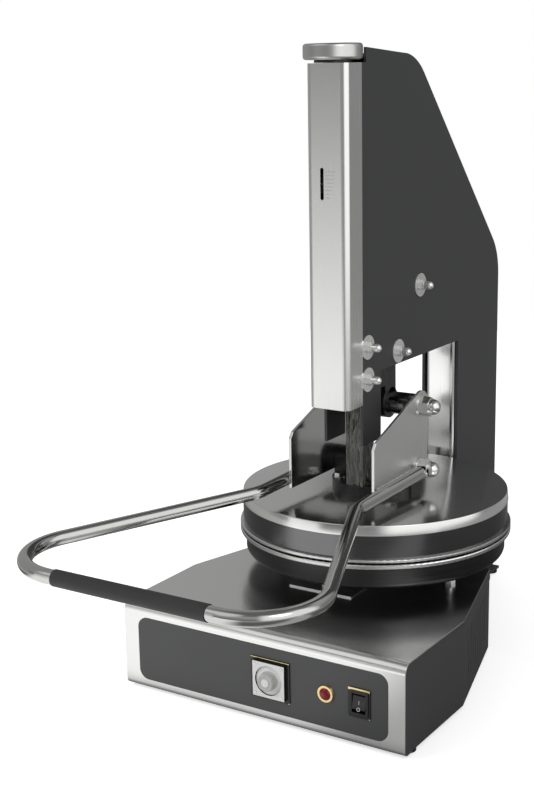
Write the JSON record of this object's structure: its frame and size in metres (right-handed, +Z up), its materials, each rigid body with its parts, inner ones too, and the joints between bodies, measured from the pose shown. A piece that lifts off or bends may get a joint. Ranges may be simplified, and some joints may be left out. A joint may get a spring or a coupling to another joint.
{
  "type": "pizza dough press",
  "caption": "Bench-top heated press for flattening dough balls: round plates closed by a lever handle and toggle on a tall slim column, over a wedge-shaped control base.",
  "frame": {"origin": "centre of the footprint box, at table level under the feet", "axes": "+Z up, +X to the operator's right, -Y towards the operator"},
  "size_m": [0.42, 0.9199, 0.838],
  "materials": {
    "stainless": "satin, brushed along its length",
    "polished_steel": "bright, finely polished",
    "bright_fastener": "bright plated",
    "dark_paint": "matt dark grey powder coat",
    "black_steel": "blackened, greased",
    "plate_metal": "machined",
    "heater_metal": "dull",
    "bracket_steel": "plain",
    "panel_black": "matt dark grey with thin gilt lines",
    "black_plastic": "moulded",
    "white_plastic": "glossy",
    "gilt_metal": "bright",
    "red_lens": "clear red",
    "foot_rubber": "moulded"
  },
  "bodies": {
    "frame": {"base_shell": "stainless", "front_cover": "stainless", "rear_channel": "stainless", "support_plate": "stainless", "pan_supports": "stainless", "guide_bolts": "bright_fastener", "tie_bolt": "bright_fastener", "tie_tube": "bright_fastener", "column_washers": "bright_fastener", "column_nuts": "bright_fastener", "toggle_pin": "bright_fastener", "pin_spacers": "bright_fastener", "side_panel_left": "dark_paint", "side_panel_right": "dark_paint", "rear_panel": "dark_paint", "ground_plate": "dark_paint", "column_plate_left": "dark_paint", "column_plate_right": "dark_paint", "back_cover": "dark_paint", "lower_pan": "dark_paint", "bottom_plate": "dark_paint", "guide_block": "black_steel", "lower_plate": "plate_metal", "lower_heater": "heater_metal", "top_bracket": "bracket_steel", "lower_bracket": "bracket_steel", "control_panel": "panel_black", "switch_frame": "black_plastic", "cable_gland": "black_plastic", "controller_housing": "black_plastic", "lamp_bezel": "gilt_metal", "lamp_lens": "red_lens", "feet": "foot_rubber"},
    "platen": {"upper_plate": "plate_metal", "upper_heater": "heater_metal", "upper_band": "dark_paint", "upper_lid": "polished_steel", "press_boss": "black_steel", "boss_bolts": "bright_fastener", "guide_bar": "black_steel", "stop_catch": "bracket_steel", "lever_pins": "bright_fastener", "lever_nuts": "bright_fastener"},
    "handle": {"lever_plate_left": "polished_steel", "lever_plate_right": "polished_steel", "knee_shaft": "bright_fastener", "knee_spacers": "black_steel", "knee_nuts": "bright_fastener", "handle_tube": "polished_steel", "handle_grip": "black_plastic"},
    "link": {"toggle_link": "black_steel"},
    "knob": {"adjusting_knob": "polished_steel", "adjusting_spindle": "bright_fastener"},
    "stop": {"stop_nut": "black_steel"},
    "dial": {"controller_dial": "white_plastic"},
    "rocker": {"switch_rocker": "black_plastic"}
  },
  "joints": [
    {"name": "platen_slide", "type": "slide", "parent": "frame", "child": "platen", "axis": [0, 0, 1], "range_m": [0, 0.06]},
    {"name": "handle_pivot", "type": "hinge", "parent": "platen", "child": "handle", "pos_m": [0, 0.118, 0.264], "axis": [-1, 0, 0], "range_deg": [0, 44.26]},
    {"name": "link_swing", "type": "hinge", "parent": "frame", "child": "link", "pos_m": [0, 0.121, 0.426], "axis": [1, 0, 0], "range_deg": [0, 55.08]},
    {"name": "knob_turn", "type": "hinge", "parent": "frame", "child": "knob", "pos_m": [0, 0, 0.828], "axis": [0, 0, 1], "range_deg": [0, 3240]},
    {"name": "stop_slide", "type": "slide", "parent": "frame", "child": "stop", "axis": [0, 0, -1], "range_m": [0, 0.0181]},
    {"name": "dial_turn", "type": "hinge", "parent": "frame", "child": "dial", "pos_m": [0.0215, -0.207, 0.0625], "axis": [0, 1, 0], "range_deg": [0, 270]},
    {"name": "rocker_tilt", "type": "hinge", "parent": "frame", "child": "rocker", "pos_m": [0.149, -0.199, 0.061], "axis": [1, 0, 0], "range_deg": [0, 16]}
  ],
  "couplings": [
    {"joint": "handle_pivot", "follows": "platen_slide", "rad_per_m": 12.845},
    {"joint": "link_swing", "follows": "platen_slide", "rad_per_m": 15.992},
    {"joint": "stop_slide", "follows": "knob_turn", "m_per_rad": 0.00031831}
  ]
}
